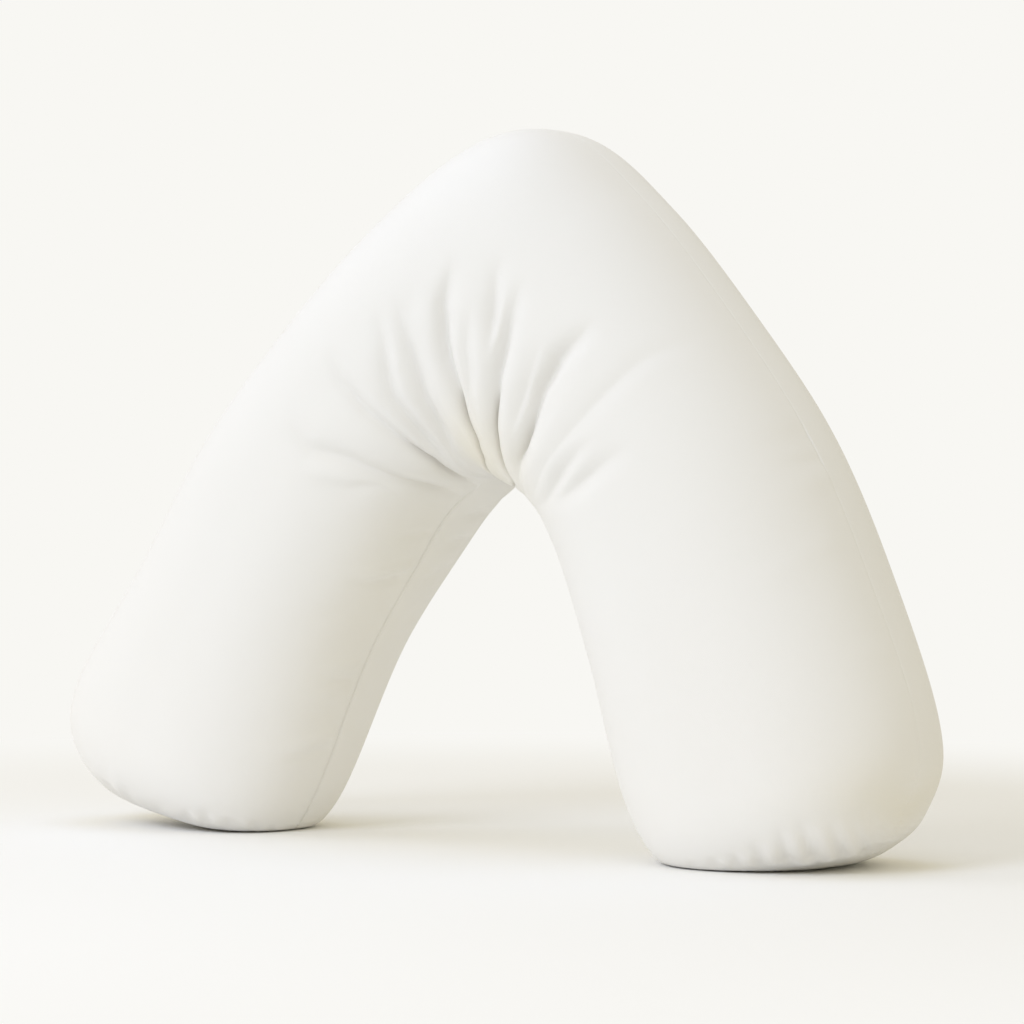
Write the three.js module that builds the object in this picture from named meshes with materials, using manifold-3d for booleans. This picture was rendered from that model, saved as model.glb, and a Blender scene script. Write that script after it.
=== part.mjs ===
// V-shaped support pillow, standing on the ends of its two arms with the bend on top.
//
// Two V-shaped cotton panels are sewn together along one seam all the way round and stuffed, so the
// pillow is one filled solid. Its section is a rounded box that is fullest at the bend. At the end of
// each arm the two panels close on the seam, and where the arm stands the floor presses it flat. The
// cloth is too long for the inside of the bend, so creases fan out from there over both panels.
//
// Millimetres. +X runs from the left foot to the right foot as seen from the front, -Y is the front,
// +Z is up, and the origin is on the floor under the middle of the pillow.

import * as THREE from "three";
import * as BufferGeometryUtils from "three/addons/utils/BufferGeometryUtils.js";
import Module from "manifold-3d";

// Stations along the pillow, one unit of place apart. inner and outer are where the seam runs on the
// hollow side and on the outside of the V, as [x, z], and thick is the depth from front to back.
const STATIONS = [
  { name: "left end", inner: [-216, -18], outer: [-421, 25], thick: 200 },
  { name: "left foot", inner: [-176, 54], outer: [-442, 120], thick: 216 },
  { name: "left shin", inner: [-116, 174], outer: [-354, 242], thick: 224 },
  { name: "left shoulder", inner: [-46, 270], outer: [-254, 380], thick: 230 },
  { name: "left of the bend", inner: [-4, 315], outer: [-78, 544], thick: 235 },
  { name: "bend", inner: [20, 330], outer: [67, 622], thick: 235 },
  { name: "right of the bend", inner: [50, 320], outer: [176, 557], thick: 235 },
  { name: "right shoulder", inner: [104, 280], outer: [320, 386], thick: 230 },
  { name: "right shin", inner: [147, 168], outer: [399, 240], thick: 224 },
  { name: "right foot", inner: [190, 35], outer: [447, 100], thick: 216 },
  { name: "right end", inner: [264, -44], outer: [408, 14], thick: 200 },
];
const LAST_PLACE = STATIONS.length - 1;

// The section is a superellipse: 2 would be an ellipse and a large number a box.
const FULLNESS = 2.5;
// How far from the end of an arm the panels start to close on the seam, how round that closing is,
// and how much of the arm's width the very end has lost.
const END_CLOSING = 78;
const END_ROUNDNESS = 2.6;
const END_NARROWING = 0.62;

// Creases of a panel. path runs from the inside of the bend to the tip of the crease as
// [place, reach], and reach is the distance over the panel from the inner seam. left and right are
// the widths of the two slopes, towards the left and the right foot.
const FRONT_CREASES = [
  { depth: 7, left: 12, right: 12, path: [[3.97, 5], [3.72, 65], [3.62, 91], [3.47, 127], [3.39, 155]] },
  { depth: 13, left: 13, right: 10, path: [[4.2, 15], [4.35, 58], [4.2, 89], [3.93, 139], [3.78, 190]] },
  { depth: 7, left: 13, right: 10, path: [[4.55, 63], [4.38, 102], [4.23, 135], [4.15, 185]] },
  { depth: 9, left: 15, right: 11, path: [[5.1, 100], [4.78, 133], [4.6, 165], [4.44, 212]] },
  { depth: 18, left: 17, right: 10, path: [[6.15, 50], [6.02, 106], [5.5, 158], [5.07, 213], [5.12, 250]] },
  { depth: 5, left: 12, right: 10, path: [[5.95, 175], [5.85, 216], [5.76, 250]] },
  { depth: 15, left: 15, right: 10, path: [[6.66, 60], [6.48, 101], [6.25, 145], [6.08, 196], [5.98, 240]] },
  { depth: 5, left: 11, right: 9, path: [[6.42, 150], [6.34, 195], [6.3, 230]] },
  { depth: 15, left: 16, right: 11, path: [[6.7, 105], [6.58, 157], [6.45, 200], [6.39, 262]] },
  { depth: 8, left: 13, right: 12, path: [[6.9, 115], [6.82, 163], [6.75, 220], [6.71, 275]] },
  { depth: 6, left: 13, right: 12, path: [[7.02, 130], [6.95, 167], [6.9, 212]] },
];
const BACK_CREASES = [
  { depth: 8, left: 14, right: 13, path: [[3.85, 10], [3.75, 70], [3.55, 120], [3.5, 165]] },
  { depth: 13, left: 13, right: 12, path: [[4.3, 20], [4.3, 80], [4.15, 135], [4.05, 195]] },
  { depth: 10, left: 14, right: 12, path: [[4.75, 70], [4.7, 130], [4.6, 200]] },
  { depth: 16, left: 15, right: 14, path: [[5.3, 45], [5.25, 110], [5.15, 170], [5.2, 235]] },
  { depth: 9, left: 12, right: 13, path: [[5.75, 75], [5.7, 130], [5.75, 200]] },
  { depth: 14, left: 13, right: 14, path: [[6.15, 40], [6.1, 100], [6.2, 160], [6.25, 220]] },
  { depth: 9, left: 13, right: 14, path: [[6.6, 90], [6.65, 150], [6.75, 205]] },
];
// A crease starts with this share of its depth, is deepest at this share of its length, and dies
// out before the seam side of its start within this distance.
const CREASE_START_SHARE = 0.4;
const CREASE_DEEPEST = 0.35;
const CREASE_LEAD_IN = 22;
// How sharp its bottom is: 1 would be a knife edge and 2 a soft trough.
const CREASE_SHARPNESS = 1.5;

// Points around a section, and sections along the pillow for each stretch of places. The stretch
// with the creases has the closest sections, and the ends grow finer towards the closing seam.
const AROUND = 48;
const END_SPACING = 1.6;
const STRETCHES = [
  { from: 0, to: 0.8, sections: 8, fine: "start" },
  { from: 0.8, to: 3.3, sections: 16 },
  { from: 3.3, to: 7.2, sections: 50 },
  { from: 7.2, to: 9.2, sections: 13 },
  { from: 9.2, to: LAST_PLACE, sections: 8, fine: "end" },
];

const COTTON = { name: "white_cotton", color: 0xf1f0ec, roughness: 0.9, metalness: 0 };

/** Smooth curves through the stations, read by place. */
function stationCurves() {
  const curve = (points) => new THREE.CatmullRomCurve3(points, false, "catmullrom", 0.5);
  const seamPoint = ([x, z]) => new THREE.Vector3(x, 0, z);
  const inner = curve(STATIONS.map((station) => seamPoint(station.inner)));
  const outer = curve(STATIONS.map((station) => seamPoint(station.outer)));
  const thick = curve(STATIONS.map((station) => new THREE.Vector3(station.thick, 0, 0)));
  return {
    inner: (place) => inner.getPoint(place / LAST_PLACE),
    outer: (place) => outer.getPoint(place / LAST_PLACE),
    thick: (place) => thick.getPoint(place / LAST_PLACE).x,
  };
}

/** The places of the sections, from the left end to the right end. */
function sectionPlaces() {
  const places = [0];
  for (const { from, to, sections, fine } of STRETCHES) {
    for (let i = 1; i <= sections; i += 1) {
      let share = i / sections;
      if (fine === "start") share **= END_SPACING;
      if (fine === "end") share = 1 - (1 - share) ** END_SPACING;
      places.push(from + (to - from) * share);
    }
  }
  return places;
}

/** A point of the section with half sizes 1: x is -1 on the inner seam, y is -1 on the front. */
function sectionPoint(angle) {
  const swell = (value) => Math.sign(value) * Math.abs(value) ** (2 / FULLNESS);
  return { across: -swell(Math.cos(angle)), deep: -swell(Math.sin(angle)) };
}

/** Angles that put AROUND points at equal steps along a typical section, the same front and back. */
function sectionAngles() {
  const [halfWidth, halfDepth] = [140, 115];
  const fineSteps = 720;
  const lengths = [0];
  let previous = sectionPoint(0);
  for (let i = 1; i <= fineSteps; i += 1) {
    const point = sectionPoint((Math.PI * i) / fineSteps);
    const across = (point.across - previous.across) * halfWidth;
    const deep = (point.deep - previous.deep) * halfDepth;
    lengths.push(lengths[i - 1] + Math.hypot(across, deep));
    previous = point;
  }
  const front = [];
  for (let j = 0; j <= AROUND / 2; j += 1) {
    const wanted = (lengths[fineSteps] * j) / (AROUND / 2);
    const found = lengths.findIndex((length) => length >= wanted);
    const i = found < 0 ? fineSteps : Math.max(1, found);
    const share = (wanted - lengths[i - 1]) / (lengths[i] - lengths[i - 1]);
    front.push((Math.PI * (i - 1 + share)) / fineSteps);
  }
  const back = front.slice(1, -1).reverse().map((angle) => 2 * Math.PI - angle);
  return [...front, ...back];
}

/** The smooth, uncreased pillow as grid[section][point] of vectors. */
function smoothGrid(places, angles) {
  const curves = stationCurves();
  const middle = (place) => curves.inner(place).add(curves.outer(place)).multiplyScalar(0.5);
  const fromLeft = [0];
  for (let i = 1; i < places.length; i += 1) {
    fromLeft.push(fromLeft[i - 1] + middle(places[i]).distanceTo(middle(places[i - 1])));
  }
  const wholeLength = fromLeft[places.length - 1];
  return places.map((place, i) => {
    const toEnd = Math.min(fromLeft[i], wholeLength - fromLeft[i]);
    const closing = Math.max(0, 1 - toEnd / END_CLOSING);
    const depthShare = (1 - closing ** END_ROUNDNESS) ** (1 / END_ROUNDNESS);
    const widthShare = Math.sqrt(1 - (END_NARROWING * closing) ** 4);
    const centre = middle(place);
    const halfAcross = curves.outer(place).sub(curves.inner(place)).multiplyScalar(widthShare / 2);
    const halfDepth = (curves.thick(place) * depthShare) / 2;
    return angles.map((angle) => {
      const { across, deep } = sectionPoint(angle);
      const point = centre.clone().addScaledVector(halfAcross, across);
      point.y = halfDepth * deep;
      return point;
    });
  });
}

/** Distances over the grid: from the left end along each line, and over each panel from the inner seam. */
function gridDistances(grid) {
  const along = grid.map((section) => section.map(() => 0));
  for (let i = 1; i < grid.length; i += 1) {
    for (let j = 0; j < AROUND; j += 1) {
      along[i][j] = along[i - 1][j] + grid[i][j].distanceTo(grid[i - 1][j]);
    }
  }
  const reach = grid.map((section) => {
    const row = section.map(() => 0);
    for (let j = 1; j <= AROUND / 2; j += 1) {
      row[j] = row[j - 1] + section[j].distanceTo(section[j - 1]);
      row[AROUND - j] = row[j];
    }
    return row;
  });
  return { along, reach };
}

/** Value at x of the line through [x, value] pairs that are sorted by x. */
function readLine(pairs, x) {
  if (x <= pairs[0][0]) return pairs[0][1];
  const next = pairs.findIndex(([px]) => px >= x);
  if (next < 0) return pairs[pairs.length - 1][1];
  const [x0, y0] = pairs[next - 1];
  const [x1, y1] = pairs[next];
  return y0 + ((y1 - y0) * (x - x0)) / (x1 - x0);
}

/** How much of its depth a crease has, at a share of its length from its start. */
function creaseFade(reach, start, tip) {
  if (reach < start) {
    return CREASE_START_SHARE * THREE.MathUtils.smoothstep(reach, start - CREASE_LEAD_IN, start);
  }
  const share = (reach - start) / (tip - start);
  if (share >= 1) return 0;
  const rise = THREE.MathUtils.smoothstep(share, 0, CREASE_DEEPEST);
  const fall = 1 - THREE.MathUtils.smoothstep(share, CREASE_DEEPEST, 1);
  return (CREASE_START_SHARE + (1 - CREASE_START_SHARE) * rise) * fall;
}

/** Push one panel in along its creases. columns are its points around the section. */
function pressCreases(grid, normals, places, { along, reach }, creases, columns) {
  const leanStep = 5;
  const pushed = grid.map((section) => section.map(() => 0));
  for (const j of columns) {
    const alongAtPlace = places.map((place, i) => [place, along[i][j]]);
    for (const { depth, left, right, path } of creases) {
      const placeAtReach = path.map(([place, distance]) => [distance, place]);
      const start = path[0][1];
      const tip = path[path.length - 1][1];
      for (let i = 0; i < grid.length; i += 1) {
        const here = reach[i][j];
        const fade = creaseFade(here, start, tip);
        if (fade > 0) {
          const lineAt = (distance) => readLine(alongAtPlace, readLine(placeAtReach, distance));
          const lean = (lineAt(here + leanStep) - lineAt(here - leanStep)) / (2 * leanStep);
          const sideways = (along[i][j] - lineAt(here)) / Math.hypot(1, lean);
          const width = sideways < 0 ? left : right;
          pushed[i][j] += depth * fade * Math.exp(-((Math.abs(sideways) / width) ** CREASE_SHARPNESS));
        }
      }
    }
  }
  for (let i = 0; i < grid.length; i += 1) {
    for (const j of columns) grid[i][j].addScaledVector(normals[i][j], -pushed[i][j]);
  }
}

/** Outward normals of the grid, from its neighbours along and around. */
function gridNormals(grid) {
  const last = grid.length - 1;
  return grid.map((section, i) => section.map((point, j) => {
    const along = grid[Math.min(i + 1, last)][j].clone().sub(grid[Math.max(i - 1, 0)][j]);
    const around = section[(j + 1) % AROUND].clone().sub(section[(j + AROUND - 1) % AROUND]);
    return along.cross(around).normalize();
  }));
}

/** The closed skin of the grid. The two ends are closed already, because their sections are flat. */
function skinGeometry(grid) {
  const positions = grid.flat().flatMap((point) => [point.x, point.y, point.z]);
  const triangles = [];
  for (let i = 0; i + 1 < grid.length; i += 1) {
    for (let j = 0; j < AROUND; j += 1) {
      const next = (j + 1) % AROUND;
      const [a, b] = [i * AROUND + j, i * AROUND + next];
      const [c, d] = [a + AROUND, b + AROUND];
      if (j < AROUND / 2) triangles.push(a, c, b, b, c, d);
      else triangles.push(a, c, d, a, d, b);
    }
  }
  const geometry = new THREE.BufferGeometry();
  geometry.setAttribute("position", new THREE.Float32BufferAttribute(positions, 3));
  geometry.setIndex(triangles);
  const mergeWithin = 1e-3;
  return BufferGeometryUtils.mergeVertices(geometry, mergeWithin);
}

/** Cut a closed geometry flat at the floor. */
function restOnFloor(geometry, wasm) {
  const solid = (source) => new wasm.Manifold(new wasm.Mesh({
    numProp: 3,
    vertProperties: new Float32Array(source.attributes.position.array),
    triVerts: new Uint32Array(source.index.array),
  }));
  const groundSize = 2000;
  const ground = new THREE.BoxGeometry(groundSize, groundSize, groundSize);
  ground.deleteAttribute("normal");
  ground.deleteAttribute("uv");
  ground.translate(0, 0, -groundSize / 2);
  const cut = solid(geometry).subtract(solid(BufferGeometryUtils.mergeVertices(ground))).getMesh();
  const result = new THREE.BufferGeometry();
  result.setAttribute("position", new THREE.Float32BufferAttribute(cut.vertProperties, 3));
  result.setIndex([...cut.triVerts]);
  return result;
}

/** Move the geometry so that the origin is under the middle of its box. */
function centreOverOrigin(geometry) {
  geometry.computeBoundingBox();
  const middle = geometry.boundingBox.getCenter(new THREE.Vector3());
  geometry.translate(-middle.x, -middle.y, 0);
}

function pillowMesh(wasm) {
  const places = sectionPlaces();
  const grid = smoothGrid(places, sectionAngles());
  const normals = gridNormals(grid);
  const distances = gridDistances(grid);
  const columns = [...Array(AROUND).keys()];
  const front = columns.filter((j) => j > 0 && j < AROUND / 2);
  const back = columns.filter((j) => j > AROUND / 2);
  pressCreases(grid, normals, places, distances, FRONT_CREASES, front);
  pressCreases(grid, normals, places, distances, BACK_CREASES, back);
  const geometry = restOnFloor(skinGeometry(grid), wasm);
  centreOverOrigin(geometry);
  geometry.computeVertexNormals();
  const mesh = new THREE.Mesh(geometry, new THREE.MeshStandardMaterial(COTTON));
  mesh.name = "pillow";
  return mesh;
}

const wasm = await Module();
wasm.setup();

const pillow = new THREE.Group();
pillow.add(pillowMesh(wasm));

export default pillow;
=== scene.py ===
# %% [markdown]
# # A V-shaped support pillow
#
# This lesson dresses one stuffed pillow. The real one is two V-shaped cotton panels, sewn together
# along a single seam and filled. It stands on the ends of its two arms, so the cloth is too long for
# the inside of the bend, and there it gathers into creases that fan out over both panels.
#
# The imported part gives the fixed frame: metres, +X from the left foot to the right foot, -Y for the
# front and +Z up.

import math
from dataclasses import dataclass

import bpy
import numpy as np
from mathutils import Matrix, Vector


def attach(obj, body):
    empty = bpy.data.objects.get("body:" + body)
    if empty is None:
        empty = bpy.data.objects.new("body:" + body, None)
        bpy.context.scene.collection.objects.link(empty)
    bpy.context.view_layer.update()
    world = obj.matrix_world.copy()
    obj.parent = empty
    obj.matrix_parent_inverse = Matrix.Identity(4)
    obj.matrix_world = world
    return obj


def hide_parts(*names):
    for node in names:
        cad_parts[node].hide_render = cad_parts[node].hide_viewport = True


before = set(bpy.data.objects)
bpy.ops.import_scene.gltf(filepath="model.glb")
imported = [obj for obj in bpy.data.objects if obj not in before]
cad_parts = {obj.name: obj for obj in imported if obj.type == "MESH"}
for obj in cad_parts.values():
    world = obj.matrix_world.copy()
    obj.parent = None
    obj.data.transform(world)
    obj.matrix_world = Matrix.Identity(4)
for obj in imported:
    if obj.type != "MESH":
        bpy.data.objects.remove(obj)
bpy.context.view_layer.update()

# %% [markdown]
# ## The two seams and the thickness
#
# A pillow of this kind could be inflated from flat panels, but then its folds fall where they like.
# Here it is lofted instead: eleven stations walk along it from one foot over the bend to the other.
# Each says where the seam runs on the hollow side and on the outside of the V, and how thick the
# stuffing is there. A smooth curve through the stations gives every section in between.

# %% Stations along the pillow
MM = 0.001
# inner x, inner z, outer x, outer z, thickness, in millimetres
STATIONS = {
    "left end": (-216, -18, -421, 25, 200),
    "left foot": (-176, 54, -442, 120, 216),
    "left shin": (-116, 174, -354, 242, 224),
    "left shoulder": (-46, 270, -254, 380, 230),
    "left of the bend": (-4, 315, -78, 544, 235),
    "bend": (20, 330, 67, 622, 235),
    "right of the bend": (50, 320, 176, 557, 235),
    "right shoulder": (104, 280, 320, 386, 230),
    "right shin": (147, 168, 399, 240, 224),
    "right foot": (190, 35, 447, 100, 216),
    "right end": (264, -44, 408, 14, 200),
}
LAST_PLACE = len(STATIONS) - 1
MIDDLE_SAMPLES = 400


def smooth_through(values, places):
    """A Catmull-Rom curve through rows of values one unit of place apart."""
    rows = np.array(values, float)
    padded = np.vstack([2 * rows[0] - rows[1], rows, 2 * rows[-1] - rows[-2]])
    span = np.clip(np.floor(places).astype(int), 0, len(rows) - 2)
    part = (places - span)[:, None]
    before, start, end, after = (padded[span + k] for k in range(4))
    leave, arrive = (end - before) / 2, (after - start) / 2
    cubic = 2 * start - 2 * end + leave + arrive
    square = -3 * start + 3 * end - 2 * leave - arrive
    return ((cubic * part + square) * part + leave) * part + start


middle_places = np.linspace(0, LAST_PLACE, MIDDLE_SAMPLES)
middle_line = smooth_through(list(STATIONS.values()), middle_places)
middle_points = (middle_line[:, 0:2] + middle_line[:, 2:4]) / 2
middle_steps = np.linalg.norm(np.diff(middle_points, axis=0), axis=1)
middle_mm = np.concatenate([[0], middle_steps.cumsum()])


def from_left_mm(places):
    """Distance of places from the left end of the pillow, along its middle line."""
    return np.interp(places, middle_places, middle_mm)


print(f"middle line {middle_mm[-1]:.0f} mm long, from foot to foot over the bend")

# %% [markdown]
# ## The stuffed section
#
# A stuffed tube is rounder than a box and boxier than an ellipse, so each section is a superellipse.
# Its points are close beside the seams, where a stitch line is only a millimetre or two wide, and
# further apart where the cloth is smooth. Behind, where little is seen, they are a little wider still.

# %% Points round a section
FULLNESS = 2.5
FRONT_POINTS = 108
BACK_POINTS = 90
SEAM_STEPS_MM = np.array([0.7, 1.5, 2.6, 4.2, 6.6])
FIRST_WIDE_STEP_MM = 3.5
TYPICAL_HALF_SECTION_MM = (140, 115)
FINE_ANGLES = 4001


def section_point(angle):
    """The unit section: x is -1 on the inner seam and y is -1 at the middle of the front."""
    cos, sin = np.cos(angle), np.sin(angle)
    power = 2 / FULLNESS
    return -np.sign(cos) * np.abs(cos) ** power, -np.sign(sin) * np.abs(sin) ** power


def panel_angles(count):
    """Angles over one panel, from the inner seam to the outer one, spaced by distance over the cloth."""
    fine = np.linspace(0, np.pi, FINE_ANGLES)
    across, deep = section_point(fine)
    half_width, half_depth = TYPICAL_HALF_SECTION_MM
    steps = np.hypot(np.diff(across) * half_width, np.diff(deep) * half_depth)
    reach = np.concatenate([[0], np.cumsum(steps)])
    margin = SEAM_STEPS_MM[-1] + FIRST_WIDE_STEP_MM
    even = np.linspace(margin, reach[-1] - margin, count - 2 * len(SEAM_STEPS_MM) - 2)
    wanted = np.concatenate([[0], SEAM_STEPS_MM, even, reach[-1] - SEAM_STEPS_MM[::-1], [reach[-1]]])
    return np.interp(wanted, reach, fine)


front_angles = panel_angles(FRONT_POINTS)
back_angles = 2 * np.pi - panel_angles(BACK_POINTS)[-2:0:-1]
angles = np.concatenate([front_angles, back_angles])
outer_column = FRONT_POINTS - 1
around = len(angles)
print(around, "points round each section")

# %% [markdown]
# ## The smooth pillow
#
# At each end of the pillow the panels close on the seam, so the thickness falls to almost nothing
# over the last stretch and the arm narrows a little. `loft` gives a point for any place along the
# pillow and any angle round it: the pillow as it would be with no creases at all.

# %% The smooth surface
END_CLOSING_MM = 78
END_ROUNDNESS = 2.6
END_NARROWING = 0.62
END_NARROWING_POWER = 4
SEAM_THICKNESS_MM = 1.5
TAPE_STEP = 0.05


def loft(places, angles):
    """Points of the smooth pillow in millimetres, for arrays of places and angles of one shape."""
    rows = smooth_through(list(STATIONS.values()), places.ravel()).reshape(*places.shape, 5)
    inner, outer, thick = rows[..., 0:2], rows[..., 2:4], rows[..., 4]
    middle, half = (inner + outer) / 2, (outer - inner) / 2
    from_left = from_left_mm(places)
    closing = np.clip(1 - np.minimum(from_left, middle_mm[-1] - from_left) / END_CLOSING_MM, 0, 1)
    depth_share = (1 - closing ** END_ROUNDNESS) ** (1 / END_ROUNDNESS)
    width_share = np.sqrt(1 - (END_NARROWING * closing) ** END_NARROWING_POWER)
    half_depth = np.maximum(thick * depth_share, SEAM_THICKNESS_MM) / 2
    across, deep = section_point(angles)
    x = middle[..., 0] + half[..., 0] * across * width_share
    z = middle[..., 1] + half[..., 1] * across * width_share
    return np.stack([x, half_depth * deep, z], axis=-1)


def tape_table():
    """Distance over the panel from the inner seam, for even places and every angle of the grid."""
    places = np.arange(0, LAST_PLACE + TAPE_STEP / 2, TAPE_STEP)
    points = loft(*np.meshgrid(places, angles, indexing="ij"))
    closed = np.concatenate([points, points[:, :1]], axis=1)
    steps = np.linalg.norm(np.diff(closed, axis=1), axis=2)
    front = np.concatenate([np.zeros((len(places), 1)), np.cumsum(steps[:, :outer_column], axis=1)], axis=1)
    back = np.cumsum(steps[:, :outer_column:-1], axis=1)[:, ::-1]
    return np.concatenate([front, back], axis=1)


tape_reaches = tape_table()


def reach_at(places, columns):
    """Reach over the panel in millimetres at places of the given columns of the grid."""
    just_below_the_last = len(tape_reaches) - 1.001
    row = np.clip(places / TAPE_STEP, 0, just_below_the_last)
    low = row.astype(int)
    part = row - low
    return tape_reaches[low, columns] * (1 - part) + tape_reaches[low + 1, columns] * part


print(f"panel {tape_reaches[:, outer_column].max():.0f} mm wide at the bend")

# %% [markdown]
# ## The creases at the bend
#
# The inside of the bend is shorter than the cloth that lies along it. The spare cloth folds into
# creases that start at the inner seam and run out over the panel until the outside of the bend takes
# up the slack. Each was placed after the real pillow, with a tape: how far along the pillow
# (its place) and how far over the panel from the inner seam (its reach).
#
# A fold is only as crisp as the mesh under it, so the grid isn't laid straight across the pillow:
# fourteen of its lines are laid along the creases themselves, from seam to seam, and the others
# follow between them, close together beside a crease and wider on the swell between two creases.

# %% Crease tables
# For each line of the fan: its place at the inner seam and at the outer seam
FAN_LINES = [
    (3.30, 3.12), (3.68, 3.36), (4.05, 3.76), (4.50, 4.14), (4.95, 4.46), (5.42, 5.06), (5.56, 5.50),
    (5.69, 5.68), (5.82, 5.95), (5.97, 6.25), (6.12, 6.40), (6.36, 6.68), (6.60, 6.82), (6.85, 6.97),
]


@dataclass
class Crease:
    """One crease of a panel: its depth, its slopes to both sides and the reaches it runs over, in mm.

    Its path holds (place, reach). A slit opens over its own reaches, with a lip rolled over it.
    """
    line: int
    depth: float
    left: float
    right: float
    start: float
    tip: float
    path: list
    slit: float = 0
    slit_start: float = 0
    slit_end: float = 0
    lip_side: int = 1


FRONT_CREASES = [
    Crease(0, 3.2, 10, 8, 70, 175, [(3.43, 91), (3.24, 114), (3.14, 143)]),
    Crease(1, 6.5, 9, 8, 5, 210, [(3.76, 27), (3.73, 51), (3.62, 82), (3.47, 127), (3.32, 162)]),
    Crease(2, 7.2, 7.5, 7, 5, 225, [(4.19, 21), (4.24, 42), (4.28, 65), (4.19, 85), (4.02, 117),
                                    (3.87, 147), (3.77, 184)], slit=1.8, slit_start=5, slit_end=115),
    Crease(3, 7, 8, 8, 60, 230, [(4.57, 58), (4.6, 74), (4.44, 103), (4.24, 139), (4.23, 159), (4.27, 187)]),
    Crease(4, 8.6, 7.5, 9, 62, 232, [(5.02, 82), (4.97, 95), (4.77, 127), (4.72, 146), (4.58, 183),
                                     (4.49, 219)]),
    Crease(5, 11, 4.3, 9, 75, 258, [(6.05, 50), (6.13, 79), (5.985, 100), (5.77, 115), (5.435, 145),
                                   (5.275, 162), (5.165, 179), (5.085, 208), (5.16, 238)],
           slit=12, slit_start=42, slit_end=142),
    Crease(6, 4.2, 7, 8, 110, 235, [(6.12, 60), (6.18, 90), (6.14, 110), (6.01, 125), (5.83, 142),
                                    (5.74, 162), (5.63, 182), (5.57, 218)]),
    Crease(7, 9, 7, 8, 180, 275, [(6.26, 60), (6.32, 90), (6.2, 112), (5.99, 160), (5.92, 187),
                                  (5.84, 210), (5.73, 250)]),
    Crease(8, 13, 7, 8, 85, 262, [(6.48, 50), (6.59, 76), (6.44, 90), (6.31, 108), (6.22, 125),
                                  (6.16, 143), (6.07, 170), (6.01, 211), (5.98, 247)],
           slit=5.2, slit_start=35, slit_end=165),
    Crease(9, 5.5, 7, 8, 130, 240, [(6.56, 55), (6.67, 78), (6.52, 107), (6.45, 130), (6.39, 162),
                                    (6.3, 211)]),
    Crease(10, 13, 6.4, 8, 95, 272, [(6.67, 60), (6.76, 82), (6.65, 95), (6.58, 111), (6.56, 128),
                                   (6.52, 150), (6.43, 188), (6.41, 220), (6.43, 248)],
           slit=1.8, slit_start=95, slit_end=175),
    Crease(11, 2.3, 7, 8, 100, 300, [(6.81, 80), (6.88, 100), (6.79, 143), (6.74, 192), (6.69, 263)]),
    Crease(12, 7.5, 7, 8, 105, 208, [(6.94, 80), (7.0, 110), (6.92, 145), (6.87, 180)]),
    Crease(13, 6.5, 7, 8, 125, 232, [(7.06, 100), (7.06, 140), (7.02, 192)]),
]
BACK_CREASES = [
    Crease(1, 4, 8, 10, 60, 200, [(3.55, 90)], lip_side=-1),
    Crease(2, 8, 6, 9, 70, 215, [(4.02, 60), (3.9, 130)], slit=1.5, slit_start=70, slit_end=150,
           lip_side=-1),
    Crease(3, 7, 7, 8, 80, 230, [(4.42, 80), (4.25, 150)], lip_side=-1),
    Crease(5, 14, 6, 9, 85, 262, [(5.25, 70), (5.02, 160)], slit=3, slit_start=85, slit_end=165, lip_side=-1),
    Crease(7, 6, 7, 8, 100, 235, [(5.62, 80), (5.55, 150)], lip_side=-1),
    Crease(8, 13, 6, 9, 85, 255, [(5.98, 90), (5.95, 170)], slit=2.5, slit_start=85, slit_end=165,
           lip_side=-1),
    Crease(10, 9, 7, 9, 95, 240, [(6.4, 100), (6.45, 170)], lip_side=-1),
    Crease(12, 6, 7, 9, 95, 215, [(6.8, 100), (6.86, 170)], lip_side=-1),
]
print(len(FRONT_CREASES), "creases in front and", len(BACK_CREASES), "behind")

# %% [markdown]
# ## A grid that follows the creases
#
# Each line of the fan is worked out for every column of the grid: the place where the column's tape
# reaches the crease. Rows between two lines share the gap out. In the arms and at the feet the rows
# run straight across, close at the feet, where the end seams pucker.

# %% Rows of the grid
LEFT_ARM_ROWS = [(0.0, 0.9, 64), (0.9, 3.0, 60)]
RIGHT_ARM_ROWS = [(7.35, 9.1, 48), (9.1, LAST_PLACE, 64)]
ROWS_IN_GAP = 17
CROWDING = 0.72
LINE_ROUNDS = 12


def fan_line(line, creases, columns):
    """Places of one line of the fan in the given columns of one panel, found in a few rounds."""
    at_inner, at_outer = FAN_LINES[line]
    drawn = [point for crease in creases if crease.line == line for point in crease.path]
    known_place, known_reach = np.array([(at_inner, 0), *drawn], float).T
    places = np.full(len(columns), at_inner)
    for _ in range(LINE_ROUNDS):
        reach = reach_at(places, columns)
        width = reach_at(places, outer_column)
        along_path = np.interp(reach, known_reach, known_place)
        beyond = np.clip((reach - known_reach[-1]) / (width - known_reach[-1]), 0, 1)
        places = along_path + (at_outer - known_place[-1]) * beyond
    return places


def straight_rows(stretches):
    """Places of the rows that run straight across an arm."""
    return np.concatenate([np.linspace(*stretch, endpoint=False) for stretch in stretches])


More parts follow.
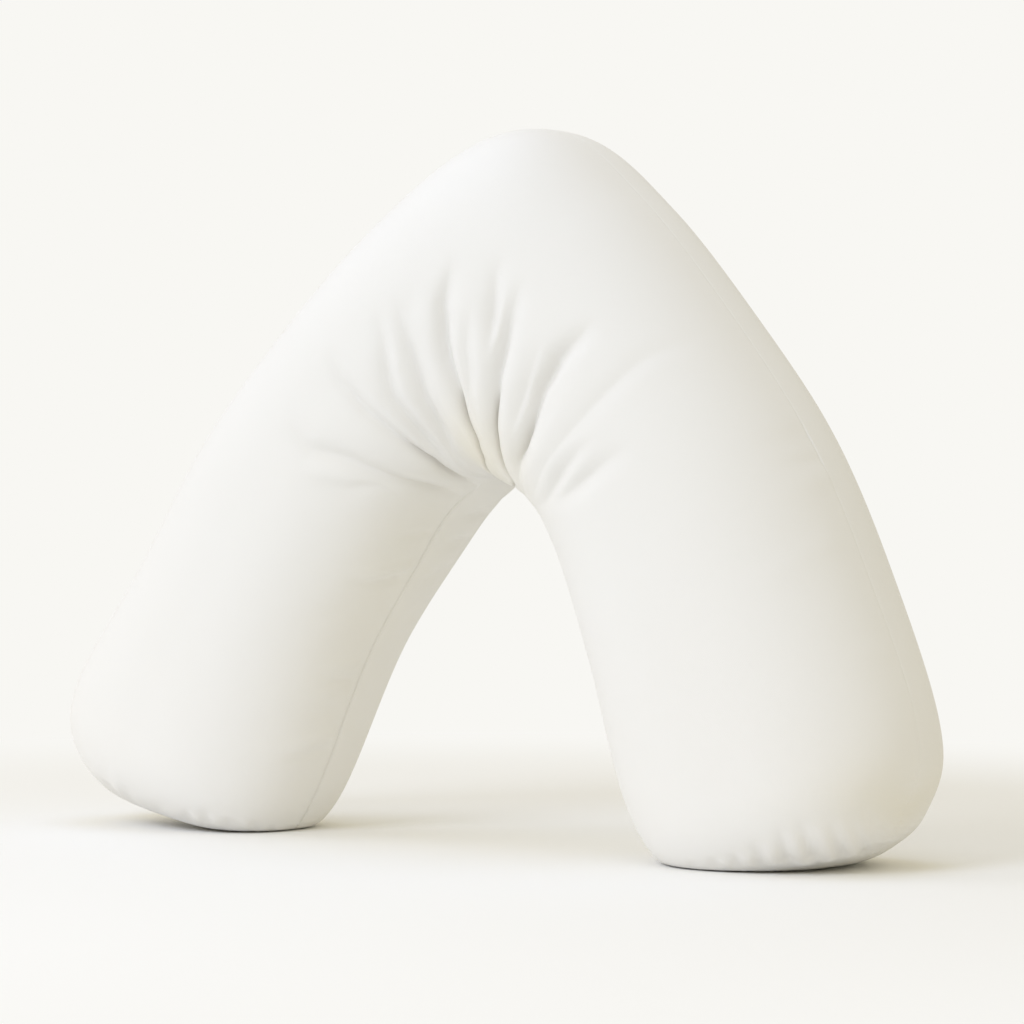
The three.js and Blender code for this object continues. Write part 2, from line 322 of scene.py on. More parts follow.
def grid_places():
    """The place of every point of the grid, and the row on which each line of the fan lies."""
    left_rows = straight_rows(LEFT_ARM_ROWS)
    right_rows = np.append(straight_rows(RIGHT_ARM_ROWS), LAST_PLACE)
    controls = [np.full(around, LEFT_ARM_ROWS[-1][1])]
    for line in range(len(FAN_LINES)):
        front = fan_line(line, FRONT_CREASES, np.arange(outer_column + 1))
        back = fan_line(line, BACK_CREASES, np.arange(outer_column + 1, around))
        controls.append(np.concatenate([front, back]))
    controls.append(np.full(around, RIGHT_ARM_ROWS[0][0]))
    even = np.arange(ROWS_IN_GAP) / ROWS_IN_GAP
    share = ((1 - CROWDING) * even + CROWDING * (1 - np.cos(np.pi * even)) / 2)[:, None]
    fan_rows = [before + (after - before) * share for before, after in zip(controls, controls[1:])]
    rows = [np.repeat(left_rows[:, None], around, axis=1), *fan_rows]
    rows.append(np.repeat(right_rows[:, None], around, axis=1))
    line_rows = len(left_rows) + ROWS_IN_GAP * np.arange(1, len(FAN_LINES) + 1)
    return np.concatenate(rows), line_rows


place, line_rows = grid_places()
smooth_points = loft(place, np.broadcast_to(angles, place.shape))
gaps = np.diff(place, axis=0)
print(f"{len(place)} sections, smallest step {gaps.min():.4f} of a place")

# %% [markdown]
# ## Measuring on the grid
#
# Distances run along the grid's columns, and a crease's slopes need the distance straight across it.
# `across_share` turns one into the other, and `sideways` is the direction in the cloth that crosses
# the fan's lines at a right angle.

# %% Distances and directions


def unit(vectors):
    """The same directions with a length of 1."""
    return vectors / np.maximum(np.linalg.norm(vectors, axis=-1, keepdims=True), 1e-9)


column_steps = np.linalg.norm(np.diff(smooth_points, axis=0), axis=2)
along_mm = np.vstack([np.zeros((1, around)), np.cumsum(column_steps, axis=0)])
reach_mm = reach_at(place, np.broadcast_to(np.arange(around), place.shape))
width_mm = reach_at(place, outer_column)
along_direction = unit(np.gradient(smooth_points, axis=0))
over_direction = unit(np.roll(smooth_points, -1, axis=1) - np.roll(smooth_points, 1, axis=1))
outward = unit(np.cross(along_direction, over_direction))
sideways = np.cross(over_direction, outward)
across_share = np.sum(along_direction * sideways, axis=2)
flattest = np.degrees(np.arcsin(across_share[line_rows[0]:line_rows[-1] + 1].min()))
print(f"columns cross the fan's lines at {flattest:.0f} degrees or more")

# %% [markdown]
# ## Pressing the creases in
#
# Seen in section, a crease is a wave about to break. The cloth comes down to it in a long slope on
# one side, drops into a narrow slit, and stands up again in a steep rounded lip on the other. The
# stuffing pushes the lip out and a little over the slit, so the slit is dark though the cloth is
# white. So each point gets two moves: in or out, and for deep creases sideways as well. The trough
# and the slit are darkened further with painted shade, which is stored with each point.

# %% Creases
LONG_EDGE = 1.1
STEEP_EDGE = 1.25
CREASE_ROUNDING_MM = (1.2, 3.0)
START_FADE_MM = (-15, 45)
ROOT_WIDTH_SHARE = 0.6
ROOT_WIDTH_REACHES_MM = (60, 150)
FAINT_ROOT_SHARE = 0.06
FAINT_ROOT_REACHES_MM = (5, 30)
TIP_FADE_MM = 75
SLIT_HALF_WIDTH_MM = 1.9
SLIT_FADE_MM = 35
LIP_SHARE = 0.06
LIP_REACHES_MM = (90, 140)
LIP_AWAY_MM = 13
LIP_WIDTH_MM = 9
ROLL_SHARE = 0.55
ROLL_AWAY_MM = 4
ROLL_WIDTH_MM = 3.6
DEEPER_WINS = 3
TROUGH_SHADE_PER_MM = 0.008
TROUGH_SHADE_WIDTHS_MM = (6, 4.5)
SLIT_SHADE_PER_MM = 0.055
SLIT_SHADE_WIDTH_MM = 3.4


def smooth_step(value, low, high):
    """0 below the low value, 1 above the high one, and a soft S between them."""
    share = np.clip((value - low) / (high - low), 0, 1)
    return share * share * (3 - 2 * share)


def bell(value, middle, width):
    """1 at the middle, falling to nearly 0 two widths away."""
    return np.exp(-(((value - middle) / width) ** 2))


def crease_moves(crease, columns):
    """One crease's trough, lip, slit and roll in millimetres, and the painted shade that stands for how far
    other cloth shades it.
    """
    line_row = line_rows[crease.line]
    away = (along_mm[:, columns] - along_mm[line_row, columns]) * across_share[line_row, columns]
    away *= crease.lip_side
    reach = reach_mm[:, columns]
    faint_root = FAINT_ROOT_SHARE * smooth_step(reach, *FAINT_ROOT_REACHES_MM)
    begin = faint_root + (1 - FAINT_ROOT_SHARE) * smooth_step(reach - crease.start, *START_FADE_MM)
    fade = 1 - smooth_step(reach, crease.tip - TIP_FADE_MM, crease.tip)
    narrow = ROOT_WIDTH_SHARE + (1 - ROOT_WIDTH_SHARE) * smooth_step(reach, *ROOT_WIDTH_REACHES_MM)
    sharp, soft = CREASE_ROUNDING_MM
    rounding = sharp + (soft - sharp) * smooth_step(reach, crease.tip - 2 * TIP_FADE_MM, crease.tip)
    long_slope, steep_slope = (crease.left, crease.right)[::crease.lip_side]
    slope = narrow * np.where(away < 0, long_slope, steep_slope)
    edge = np.where(away < 0, LONG_EDGE, STEEP_EDGE)
    rounded = np.sqrt(away ** 2 + rounding ** 2) - rounding
    depth = crease.depth * begin * fade
    trough = depth * np.exp(-((rounded / slope) ** edge))
    lip = LIP_SHARE * depth * smooth_step(reach, *LIP_REACHES_MM) * bell(away, LIP_AWAY_MM, LIP_WIDTH_MM)
    opening = smooth_step(reach, crease.slit_start, crease.slit_start + SLIT_FADE_MM)
    closing = 1 - smooth_step(reach, crease.slit_end - SLIT_FADE_MM, crease.slit_end)
    slit = crease.slit * opening * closing
    roll = -crease.lip_side * ROLL_SHARE * slit * bell(away, ROLL_AWAY_MM, ROLL_WIDTH_MM)
    slit_cut = slit * bell(away, 0, SLIT_HALF_WIDTH_MM)
    shade_width = np.where(away * crease.lip_side < 0, *TROUGH_SHADE_WIDTHS_MM)
    shade = TROUGH_SHADE_PER_MM * depth * bell(rounded, 0, shade_width)
    shade += SLIT_SHADE_PER_MM * slit * bell(away, 0, SLIT_SHADE_WIDTH_MM)
    return trough, lip, slit_cut, roll, shade


push_mm = np.zeros_like(reach_mm)
roll_mm = np.zeros_like(reach_mm)
shade = np.zeros_like(reach_mm)
for creases, columns in (
    (FRONT_CREASES, np.arange(1, outer_column)),
    (BACK_CREASES, np.arange(outer_column + 1, around)),
):
    moves = zip(*(crease_moves(crease, columns) for crease in creases))
    troughs, lips, slits, rolls, shades = (np.array(move) for move in moves)
    together = np.sum(troughs ** DEEPER_WINS, axis=0) ** (1 / DEEPER_WINS)
    push_mm[:, columns] += together - np.sum(lips, axis=0) + np.sum(slits, axis=0)
    roll_mm[:, columns] += np.sum(rolls, axis=0)
    shade[:, columns] = np.clip(np.sum(shades, axis=0), 0, 1)
print(f"deepest crease {push_mm.max():.0f} mm, widest roll {np.abs(roll_mm).max():.1f} mm")

# %% [markdown]
# ## Small wrinkles and puckers
#
# Beside the fan, a few faint wrinkles cross the arms, and round the feet the cloth is gathered into
# the end seam, so short puckers run up from the floor. They are too short to be worth a line of the
# grid each. Each is a soft ridge or trough between two points, highest at its first.

# %% Wrinkle tables


@dataclass
class Wrinkle:
    """A soft ridge, or a trough where the height is below 0, from one (place, reach) to another."""
    height: float
    width: float
    start: tuple
    end: tuple


RIGHT_FOOT_PUCKERS = [
    Wrinkle(-1.8, 7, (9.72, 258), (9.36, 296)),
    Wrinkle(2.4, 8, (9.86, 219), (9.44, 286)),
    Wrinkle(-3.0, 5, (9.9, 206), (9.38, 281)),
    Wrinkle(3.2, 8, (9.9, 192), (9.44, 271)),
    Wrinkle(-3.2, 5, (9.87, 193), (9.36, 265)),
    Wrinkle(4.4, 8, (9.88, 181), (9.4, 259)),
    Wrinkle(-3.6, 5, (9.82, 182), (9.32, 249)),
    Wrinkle(3.6, 8, (9.86, 167), (9.45, 231)),
    Wrinkle(-2.8, 5, (9.78, 171), (9.37, 228)),
    Wrinkle(2.6, 7, (9.78, 161), (9.5, 203)),
    Wrinkle(-2.2, 5, (9.75, 154), (9.45, 196)),
    Wrinkle(2.0, 5, (9.73, 148), (9.56, 173)),
    Wrinkle(-1.8, 4, (9.7, 141), (9.54, 161)),
    Wrinkle(1.4, 4, (9.68, 135), (9.57, 147)),
    Wrinkle(-1.5, 4, (9.65, 128), (9.52, 142)),
    Wrinkle(-1.2, 4, (9.6, 110), (9.5, 122)),
]
LEFT_FOOT_PUCKERS = [
    Wrinkle(-2.4, 8, (0.19, 203), (0.42, 224)),
    Wrinkle(2.0, 6, (0.23, 189), (0.75, 216)),
    Wrinkle(-1.4, 6, (0.14, 180), (0.5, 190)),
    Wrinkle(1.2, 6, (0.22, 165), (0.42, 175)),
    Wrinkle(-0.8, 6, (0.2, 140), (0.42, 150)),
    Wrinkle(0.8, 6, (0.2, 125), (0.4, 133)),
    Wrinkle(-1.4, 5, (0.2, 108), (0.46, 120)),
    Wrinkle(1.4, 5, (0.26, 101), (0.42, 112)),
    Wrinkle(-1.5, 5, (0.27, 92), (0.56, 104)),
    Wrinkle(1.8, 5, (0.25, 81), (0.47, 94)),
    Wrinkle(-1.2, 5, (0.27, 72), (0.44, 81)),
    Wrinkle(1.5, 5, (0.28, 55), (0.48, 69)),
    Wrinkle(-1.2, 4, (0.28, 48), (0.44, 58)),
    Wrinkle(1.0, 4, (0.27, 39), (0.38, 45)),
    Wrinkle(-1.0, 4, (0.26, 32), (0.37, 39)),
    Wrinkle(0.9, 4, (0.26, 23), (0.36, 30)),
]
ARM_WRINKLES = [
    Wrinkle(3.0, 6, (2.66, 16), (2.5, 85)),
    Wrinkle(-2.6, 6, (2.56, 14), (2.44, 80)),
    Wrinkle(-1.8, 6, (3.0, 14), (2.9, 60)),
    Wrinkle(-1.3, 6, (6.61, 150), (6.5, 240)),
    Wrinkle(-0.9, 7, (4.7, 206), (4.66, 240)),
    Wrinkle(-0.8, 8, (2.23, 55), (2.1, 100)),
    Wrinkle(2.4, 6, (1.81, 14), (1.76, 55)),
    Wrinkle(-2.0, 6, (1.73, 14), (1.68, 50)),
    Wrinkle(2.3, 6, (1.62, 14), (1.56, 62)),
    Wrinkle(2.4, 7, (1.31, 14), (1.15, 72)),
    Wrinkle(-1.9, 6, (1.22, 14), (1.06, 62)),
    Wrinkle(-0.6, 8, (6.68, 270), (6.71, 345)),
    Wrinkle(-0.7, 9, (7.21, 400), (7.29, 300)),
    Wrinkle(-0.6, 9, (7.35, 400), (7.38, 310)),
    Wrinkle(0.6, 9, (7.42, 395), (7.53, 320)),
    Wrinkle(0.6, 10, (7.8, 360), (8.02, 260)),
    Wrinkle(0.4, 8, (8.41, 390), (8.43, 330)),
]
BACK_STRIP_WRINKLES = [
    Wrinkle(-3.2, 7, (3.36, 42), (3.25, 12)),
    Wrinkle(-3.5, 7, (2.95, 42), (2.86, 12)),
    Wrinkle(-3.0, 7, (2.65, 42), (2.5, 12)),
    Wrinkle(-1.4, 9, (2.3, 50), (2.15, 10)),
]
print(len(RIGHT_FOOT_PUCKERS) + len(LEFT_FOOT_PUCKERS), "foot puckers")
print(len(ARM_WRINKLES) + len(BACK_STRIP_WRINKLES), "wrinkles on the arms")

# %% [markdown]
# ## Raising the wrinkles
#
# The two ends of a wrinkle are looked up on the smooth pillow, and each point of the cloth is raised
# by its distance from the line between them. Distances straight through the stuffing count less than
# those over the cloth, so a wrinkle keeps its width where the cloth curves away from that line.

# %% Raise the wrinkles
FAR_SIDE_SHARE = 0.35
TAPERS_FROM = 0.3


def cloth_point(place, reach, columns):
    """The point of the smooth pillow at a place and a reach on the panel with these columns."""
    reaches = reach_at(np.full(len(columns), place), columns)
    order = np.argsort(reaches)
    angle = np.interp(reach, reaches[order], angles[columns][order])
    return loft(np.array([place]), np.array([angle]))[0]


def wrinkle_height(wrinkle, columns):
    """How far one wrinkle lifts the points of its panel, in millimetres."""
    start, end = (cloth_point(*point, columns) for point in (wrinkle.start, wrinkle.end))
    axis = end - start
    offset = smooth_points[:, columns] - start
    share = np.clip(offset @ axis / (axis @ axis), 0, 1)
    offset = offset - share[..., None] * axis
    through = np.sum(offset * outward[:, columns], axis=2)
    distance = np.sqrt(np.sum(offset ** 2, axis=2) - (1 - FAR_SIDE_SHARE ** 2) * through ** 2)
    return wrinkle.height * bell(distance, 0, wrinkle.width) * (1 - smooth_step(share, TAPERS_FROM, 1))


for wrinkles, columns in (
    (RIGHT_FOOT_PUCKERS + LEFT_FOOT_PUCKERS + ARM_WRINKLES, np.arange(outer_column + 1)),
    (BACK_STRIP_WRINKLES, np.arange(outer_column + 1, around)),
):
    for wrinkle in wrinkles:
        push_mm[:, columns] -= wrinkle_height(wrinkle, columns)
print(f"with the wrinkles, the cloth is raised by up to {-push_mm.min():.1f} mm")

# %% [markdown]
# ## Where the filling sits
#
# Filling is pushed by hand into the bend and the corners of the feet. So the cloth stands out a few
# millimetres under the bend and behind the seam, the right foot has a fuller corner, and the arms
# aren't equally full all round. Each swell is a broad soft hill, or a shallow hollow where its height
# is below 0.

# %% Swells
# height, then (place, reach) of its middle and its spread in both; a reach below 0 is on the back panel
SWELLS = [
    (5, (5.8, 5), (0.7, 60)),
    (9, (4.1, -45), (0.7, 50)),
    (5, (3.0, -50), (0.9, 45)),
    (8, (4.75, 28), (0.45, 36)),
    (2.5, (2.2, -40), (1.3, 40)),
    (-3.5, (8.1, 95), (1.0, 50)),
    (6, (9.79, 285), (0.25, 80)),
    (6, (9.79, -285), (0.25, 80)),
    (-5, (3.2, 15), (0.6, 70)),
]
signed_reach = np.where(np.arange(around) > outer_column, -reach_mm, reach_mm)


def soft_patch(middle, spread):
    """A bell over the cloth round a middle (place, reach)."""
    return bell(place, middle[0], spread[0]) * bell(signed_reach, middle[1], spread[1])


for height, middle, spread in SWELLS:
    push_mm -= height * soft_patch(middle, spread)
print(len(SWELLS), "swells and hollows")

# %% [markdown]
# ## Seam, small puckers and uneven filling
#
# Thread pulls the cloth in along a seam, so the seam lies in a narrow groove, and the slack between
# stitches stands up in tiny puckers across it. Hand-filled stuffing is never even either: broad
# shallow swellings keep the arms from looking machined. All of this comes from waves with fixed
# seeds, so it is the same in each run. On the outside of the bend the cloth is stretched, so the
# seam hardly shows there. Under the bend the roots of the creases cover the inner seam, so its groove
# fades out.

# %% Groove, puckers and lumps
INNER_GROOVE_MM = 2.0
OUTER_GROOVE_MM = 0.35
SEAM_GROOVE_HALF_WIDTH_MM = 1.0
SEAM_SHADE = 0.1
SEAM_HIDES_OVER = (3.6, 4.1)
SEAM_SHOWS_OVER = (6.6, 7.1)
ARM_PUCKER_MM = 0.12
FOOT_PUCKER_MM = 0.8
FOOT_PUCKER_PLACES = (0.4, 1.0)
PUCKER_REACH_MM = 18
PUCKER_FADE_POWER = 1.4
PUCKER_SPACING_MM = 13
INNER_PUCKER_SEED = 3
OUTER_PUCKER_SEED = 4
WAVE_SPACINGS = (0.62, 1.0, 1.47)
WAVE_STRENGTHS = (0.5, 1)
WAVE_WANDER = 1.6
WANDER_SPACINGS = 3.7
LUMP_MM = 0.5
LUMP_SIZE_MM = 170
LUMP_SEED = 8
LUMP_WAVES = 14
LUMP_SIZE_SPREAD = (0.8, 1.9)
LUMP_SUM_SCALE = 4


def uneven_wave(distance, spacing, seed):
    """A wave whose crests are about one spacing apart, but never quite even."""
    chance = np.random.default_rng(seed)
    wave = np.zeros_like(distance)
    for share in WAVE_SPACINGS:
        shift, strength = chance.uniform(0, 2 * np.pi), chance.uniform(*WAVE_STRENGTHS)
        wander = WAVE_WANDER * np.sin(distance / (WANDER_SPACINGS * spacing) + chance.uniform(0, 2 * np.pi))
        wave += strength * np.sin(2 * np.pi * distance / (spacing * share) + wander + shift)
    return wave / len(WAVE_SPACINGS)


def soft_lumps(points, size, seed):
    """A smooth random field over space, about -1 to 1."""
    chance = np.random.default_rng(seed)
    field = np.zeros(points.shape[:2])
    for _ in range(LUMP_WAVES):
        direction = chance.normal(size=3)
        direction *= 2 * np.pi / (size * chance.uniform(*LUMP_SIZE_SPREAD) * np.linalg.norm(direction))
        field += np.cos(points @ direction + chance.uniform(0, 2 * np.pi))
    return field / LUMP_SUM_SCALE


at_foot = 1 - smooth_step(np.minimum(place, LAST_PLACE - place), *FOOT_PUCKER_PLACES)
pucker_height = ARM_PUCKER_MM + (FOOT_PUCKER_MM - ARM_PUCKER_MM) * at_foot
seam_hidden = smooth_step(place[:, :1], *SEAM_HIDES_OVER) * (1 - smooth_step(place[:, :1], *SEAM_SHOWS_OVER))
seam_shows = 1 - seam_hidden
for seed, groove_depth, from_seam, column in (
    (INNER_PUCKER_SEED, INNER_GROOVE_MM * seam_shows, reach_mm, 0),
    (OUTER_PUCKER_SEED, OUTER_GROOVE_MM, width_mm - reach_mm, outer_column),
):
    groove = groove_depth * bell(from_seam, 0, SEAM_GROOVE_HALF_WIDTH_MM)
    wave = uneven_wave(along_mm[:, column], PUCKER_SPACING_MM, seed)[:, None]
    push_mm += groove + pucker_height * wave * np.exp(-((from_seam / PUCKER_REACH_MM) ** PUCKER_FADE_POWER))
# painted shade: a thin darker line along the inner seam's groove, faded out under the bend
shade = np.maximum(shade, SEAM_SHADE * seam_shows * bell(reach_mm, 0, SEAM_GROOVE_HALF_WIDTH_MM))
lumps = soft_lumps(smooth_points, LUMP_SIZE_MM, LUMP_SEED)
push_mm += LUMP_MM * lumps
print(f"lumps of the filling up to {LUMP_MM * np.abs(lumps).max():.1f} mm")

# %% [markdown]
# ## Warm shade
#
# White cloth that faces other white cloth is lit by light that has bounced before, and each bounce
# takes a little more of its blue away. One smooth surface shows too little of that, so under the bend,
# on the inner side of the left arm and at the corner of the right foot the warmth is painted on in
# broad soft patches, which are stored with each point as well.

# %% Warm patches
# strength, then (place, reach) of the middle and its spread in both; a reach below 0 is behind
WARM_PATCHES = [
    (0.8, (6.0, 85), (0.75, 45)),
    (0.42, (2.7, 25), (1.5, 65)),
    (0.65, (9.5, 335), (0.4, 60)),
    (0.65, (9.5, -335), (0.4, 60)),
]
warmth = np.zeros_like(reach_mm)
for strength, middle, spread in WARM_PATCHES:
    warmth += strength * soft_patch(middle, spread)
print(f"warmest point {warmth.max():.2f}")

# %% [markdown]
# ## Resting on the floor
#
# The pillow stands on the ends of its arms, so its weight presses them flat. Points that would lie
# under the floor are brought up to it, and a small rounding keeps the edge of the flat patch soft.

# %% Press the feet on the floor
FOOT_EDGE_MM = 5
UNDER_FLOOR_MM = (-40, -4)


def press_on_floor(points):
    """Bring points below the floor up to it, with a soft edge."""
    pressed = points.copy()
    height = points[..., 2]
    risen = (height + np.hypot(height, FOOT_EDGE_MM)) / 2
    pressed[..., 2] = risen * smooth_step(height, *UNDER_FLOOR_MM)
    return pressed


cloth_points = press_on_floor(smooth_points - outward * push_mm[..., None] + sideways * roll_mm[..., None])
cloth_points[..., 0:2] -= (cloth_points[..., 0:2].max((0, 1)) + cloth_points[..., 0:2].min((0, 1))) / 2
print("cloth size in mm:", np.ptp(cloth_points.reshape(-1, 3), axis=0).round())

# %% [markdown]
# ## From points to a mesh
#
# The grid is skinned with quads. Its two ends are thin slits, where the seam closes the pillow, and
# a strip of quads across each slit makes the skin a closed body. The measured distances become the
# UV map, in metres, so a weave drawn on it has its real size everywhere.

# %% Skin the grid


def slit_cap(ring, columns):
    """Quads that close one end of the grid, from its front points to the back points nearest to them."""
    front = ring[:outer_column + 1]
    back = np.append(ring[:1], ring[:outer_column - 1:-1])
    nearest = np.round(np.interp(columns, [0, outer_column], [0, len(back) - 1])).astype(int)
    partner = back[nearest]
    return np.stack([front[:-1], front[1:], partner[1:], partner[:-1]], axis=-1)


def skin(points):
    """Make the closed mesh of the grid."""
    sections = len(points)
    index = np.arange(sections * around).reshape(sections, around)
    following = np.roll(index, -1, axis=1)
    sides = np.stack([index[:-1], index[1:], following[1:], following[:-1]], axis=-1).reshape(-1, 4)
    columns = np.arange(outer_column + 1)
    caps = [slit_cap(index[0], columns), slit_cap(index[-1], columns)[:, ::-1]]
    quads = np.concatenate([sides, *caps])
    mesh = bpy.data.meshes.new("pillow_cloth")
    faces = [tuple(dict.fromkeys(quad)) for quad in quads.tolist()]
    mesh.from_pydata((points.reshape(-1, 3) * MM).tolist(), [], [face for face in faces if len(face) > 2])
    tape = np.stack([from_left_mm(place), reach_mm], axis=-1).reshape(-1, 2) * MM
    uv = mesh.uv_layers.new(name="over_the_cloth")
    corners = np.empty(len(mesh.loops), int)
    mesh.loops.foreach_get("vertex_index", corners)
    uv.data.foreach_set("uv", tape[corners].ravel())
    for name, values in (("crease_shade", shade), ("bounce_warmth", warmth)):
        mesh.attributes.new(name, "FLOAT", "POINT").data.foreach_set("value", values.ravel())
    mesh.shade_smooth()
    mesh.update()
    return bpy.data.objects.new("pillow_cloth", mesh)


pillow_cloth = skin(cloth_points)
bpy.context.scene.collection.objects.link(pillow_cloth)
print("pillow_cloth faces:", len(pillow_cloth.data.polygons))

# %% [markdown]
# ## White cotton
#
# The cover is plain-woven cotton: matt, nearly white, with a little fuzz that catches light at
# grazing angles. A picture of cloth could be wrapped over it, but crossed waves in the bump do it
# with no image: two thread directions that pass over and under each other. The colour only drifts a
# little, a touch creamier here and there, as washed cotton does. Down in a crease, light that has
# passed through and off the cloth many times is dimmer and warmer than one mesh surface can show. So
# the shade and the warmth that are stored with each point tint the colour.

# %% The cotton material
COTTON_COLOUR = (0.87, 0.865, 0.85)
COTTON_CREAM = (0.86, 0.85, 0.825)
CREASE_SHADE_COLOUR = (0.42, 0.38, 0.31)
BOUNCE_WARMTH_COLOUR = (0.82, 0.785, 0.67)
THREADS_PER_METRE = 1400
SLUB_SHARE = 1.5
WEAVE_BUMP_MM = 0.05


def mixed_colour(nodes, links, factor, first, second):
    """A mix of two colours, each given as numbers or as another node's output."""
    mix = nodes.new("ShaderNodeMix")
    mix.data_type = "RGBA"
    links.new(factor, mix.inputs["Factor"])
    for name, colour in (("A", first), ("B", second)):
        if isinstance(colour, tuple):
            mix.inputs[name].default_value = (*colour, 1)
        else:
            links.new(colour, mix.inputs[name])
    return mix.outputs["Result"]


def cotton_material():
    """Plain-woven cotton: matt, with threads and slubs as bump, and the stored painted crease shade and
    painted warm bounce light in its colour.
    """
    material = bpy.data.materials.new("white_cotton")
    material.use_nodes = True
    nodes, links = material.node_tree.nodes, material.node_tree.links
    shader = nodes["Principled BSDF"]
    shader.inputs["Roughness"].default_value = 0.88
    shader.inputs["Specular IOR Level"].default_value = 0.25
    shader.inputs["Sheen Weight"].default_value = 0.12
    shader.inputs["Sheen Roughness"].default_value = 0.5
    uv = nodes.new("ShaderNodeUVMap")
    uv.uv_map = "over_the_cloth"
    split = nodes.new("ShaderNodeSeparateXYZ")
    links.new(uv.outputs["UV"], split.inputs["Vector"])

    def math_node(operation, first, second=None):
        node = nodes.new("ShaderNodeMath")
        node.operation = operation
        for socket, value in zip(node.inputs, (first, second)):
            if isinstance(value, (int, float)):
                socket.default_value = value
            elif value is not None:
                links.new(value, socket)
        return node.outputs["Value"]

    wave_step = 2 * math.pi * THREADS_PER_METRE / 2
    warp = math_node("SINE", math_node("MULTIPLY", split.outputs["X"], wave_step))
    weft = math_node("SINE", math_node("MULTIPLY", split.outputs["Y"], wave_step))
    weave = math_node("MULTIPLY", warp, weft)
    slub = nodes.new("ShaderNodeTexNoise")
    slub.inputs["Scale"].default_value = 900
    slub.inputs["Detail"].default_value = 3
    links.new(uv.outputs["UV"], slub.inputs["Vector"])
    surface = math_node("ADD", weave, math_node("MULTIPLY", slub.outputs["Fac"], SLUB_SHARE))
    bump = nodes.new("ShaderNodeBump")
    bump.inputs["Distance"].default_value = WEAVE_BUMP_MM * MM
    bump.inputs["Strength"].default_value = 0.6
    links.new(surface, bump.inputs["Height"])
    links.new(bump.outputs["Normal"], shader.inputs["Normal"])

    place = nodes.new("ShaderNodeTexCoord")
    drift = nodes.new("ShaderNodeTexNoise")
    drift.inputs["Scale"].default_value = 6
    drift.inputs["Detail"].default_value = 4
    links.new(place.outputs["Object"], drift.inputs["Vector"])
    cotton = mixed_colour(nodes, links, drift.outputs["Fac"], COTTON_COLOUR, COTTON_CREAM)
    for name, tint in (("bounce_warmth", BOUNCE_WARMTH_COLOUR), ("crease_shade", CREASE_SHADE_COLOUR)):
        stored = nodes.new("ShaderNodeAttribute")
        stored.attribute_name = name
        cotton = mixed_colour(nodes, links, stored.outputs["Fac"], cotton, tint)
    links.new(cotton, shader.inputs["Base Color"])
    return material


pillow_cloth.data.materials.append(cotton_material())

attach(pillow_cloth, "root")
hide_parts("pillow")
print("cotton on", pillow_cloth.name)

# %% [markdown]
# ## Floor and backdrop
#
# A white object is photographed on white. The floor is pale and matt where the shadows fall, and
# fades into the plain bright surroundings further out, so no horizon shows. What the eye sees as
# backdrop may be brighter than what lights the pillow, so the two are set apart.

# %% Floor
BACKDROP = (0.939, 0.930, 0.896)
FLOOR_COLOUR = (0.93, 0.93, 0.92)
FLOOR_BOUNCE = (0.64, 0.65, 0.61)
FLOOR_FADE = (0.6, 1.5)
FLOOR_HALF_SIZE = 30


def seen_or_lighting(nodes, links, seen_colour, lighting_colour):
    """An emission that shows one colour to the eye and lights the cloth with another."""
    glow = nodes.new("ShaderNodeEmission")
    path = nodes.new("ShaderNodeLightPath")
    colour = mixed_colour(nodes, links, path.outputs["Is Camera Ray"], lighting_colour, seen_colour)
    links.new(colour, glow.inputs["Color"])
    return glow.outputs["Emission"]


def floor_material():
    """Matt where the pillow stands, and plain backdrop further out."""
    material = bpy.data.materials.new("pale_floor")
    material.use_nodes = True
    nodes, links = material.node_tree.nodes, material.node_tree.links
    shader = nodes["Principled BSDF"]
    shader.inputs["Base Color"].default_value = (*FLOOR_COLOUR, 1)
    shader.inputs["Roughness"].default_value = 0.9
    shader.inputs["Specular IOR Level"].default_value = 0.1
    place = nodes.new("ShaderNodeTexCoord")
    distance = nodes.new("ShaderNodeVectorMath")
    distance.operation = "LENGTH"
    links.new(place.outputs["Object"], distance.inputs[0])
    fade = nodes.new("ShaderNodeMapRange")
    fade.interpolation_type = "SMOOTHSTEP"
    fade.inputs["From Min"].default_value, fade.inputs["From Max"].default_value = FLOOR_FADE
    links.new(distance.outputs["Value"], fade.inputs["Value"])
    mix = nodes.new("ShaderNodeMixShader")
    links.new(fade.outputs["Result"], mix.inputs["Fac"])
    links.new(shader.outputs["BSDF"], mix.inputs[1])
    links.new(seen_or_lighting(nodes, links, BACKDROP, FLOOR_BOUNCE), mix.inputs[2])
    links.new(mix.outputs["Shader"], nodes["Material Output"].inputs["Surface"])
    return material


def make_floor(half):
    """A wide square of floor at height 0, which belongs to the studio and not to the pillow."""
    mesh = bpy.data.meshes.new("studio_floor")
    corners = [(-half, -half, 0), (half, -half, 0), (half, half, 0), (-half, half, 0)]
    mesh.from_pydata(corners, [], [(0, 1, 2, 3)])
    mesh.materials.append(floor_material())
    floor = bpy.data.objects.new("studio_floor", mesh)
    bpy.context.scene.collection.objects.link(floor)


make_floor(FLOOR_HALF_SIZE)
print("floor of", 2 * FLOOR_HALF_SIZE, "metres, fading out from", FLOOR_FADE[0], "to", FLOOR_FADE[1])

# %% [markdown]
# ## Surroundings and lights
#
# Warm light comes evenly from all around, as from the walls of a bright room. Three wide cool lights
# shape the pillow: the key light in front, a weaker one from the left and one overhead. Small lamps
# would draw hard shadows into the creases, so each is a disk of about two metres.

# %% Surroundings and lights
SURROUND_LIGHT = (0.733, 0.674, 0.519)
PILLOW_MIDDLE = Vector((0, 0, 0.3))
# name, direction from the front towards the right, height angle, distance, size, power as red, green, blue
LIGHTS = [
    ("key", 0, 30, 3.5, 1.6, (26.9, 30.4, 39.6)),
    ("left", -60, 22, 3.5, 2.2, (17.8, 18.5, 21.6)),
    ("overhead", 0, 88, 3.5, 2.6, (12.2, 16.6, 28.4)),
]


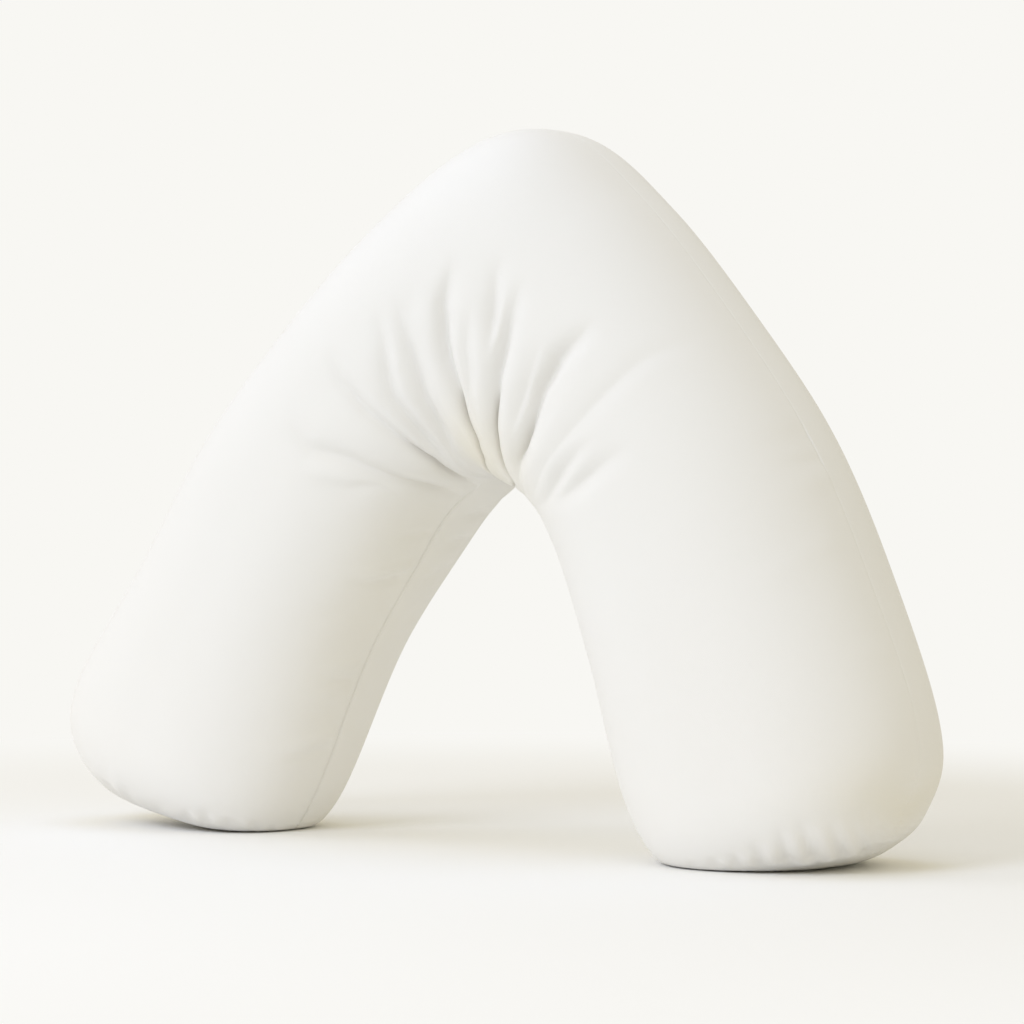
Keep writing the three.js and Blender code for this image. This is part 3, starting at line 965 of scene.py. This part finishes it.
def make_world():
    """Bright backdrop for the eye, softer warm light for the cloth."""
    world = bpy.data.worlds.new("studio")
    bpy.context.scene.world = world
    world.use_nodes = True
    nodes, links = world.node_tree.nodes, world.node_tree.links
    glow = seen_or_lighting(nodes, links, BACKDROP, SURROUND_LIGHT)
    links.new(glow, nodes["World Output"].inputs["Surface"])


def area_light(name, azimuth, elevation, distance, size, power):
    """A round light at this direction and distance from the middle of the pillow, facing it."""
    data = bpy.data.lights.new(name, "AREA")
    data.shape = "DISK"
    data.size = size
    data.energy = max(power)
    data.color = [share / max(power) for share in power]
    turn, lift = math.radians(azimuth), math.radians(elevation)
    towards = Vector((math.sin(turn) * math.cos(lift), -math.cos(turn) * math.cos(lift), math.sin(lift)))
    light = bpy.data.objects.new(name, data)
    light.location = PILLOW_MIDDLE + distance * towards
    light.rotation_euler = towards.to_track_quat("Z", "Y").to_euler()
    bpy.context.scene.collection.objects.link(light)


make_world()
for light in LIGHTS:
    area_light(*light)
print(len(LIGHTS), "lights")

# %% [markdown]
# ## Camera
#
# The photograph is taken from close to the floor with a long lens, turned to the right foot's side,
# so the near foot looks larger than the far one.

# %% Camera
CAMERA_AZIMUTH = math.radians(36.7)
CAMERA_ELEVATION = math.radians(0.21)
CAMERA_DISTANCE = 3.2
CAMERA_LENS = 128.7
CAMERA_AIM = Vector((0.031, 0.007, 0.291))


def make_camera():
    """The photograph's camera, far off behind a long lens."""
    data = bpy.data.cameras.new("camera")
    data.lens = CAMERA_LENS
    data.sensor_width = 36
    data.clip_end = 200
    camera = bpy.data.objects.new("camera", data)
    back = Vector((
        math.sin(CAMERA_AZIMUTH) * math.cos(CAMERA_ELEVATION),
        -math.cos(CAMERA_AZIMUTH) * math.cos(CAMERA_ELEVATION),
        math.sin(CAMERA_ELEVATION),
    ))
    camera.location = CAMERA_AIM + CAMERA_DISTANCE * back
    camera.rotation_euler = (-back).to_track_quat("-Z", "Y").to_euler()
    bpy.context.scene.collection.objects.link(camera)
    bpy.context.scene.camera = camera


make_camera()
bpy.context.scene.view_settings.view_transform = "Standard"
bpy.context.scene.view_settings.look = "None"
print(f"camera {CAMERA_DISTANCE} m away with a lens of {CAMERA_LENS} mm")
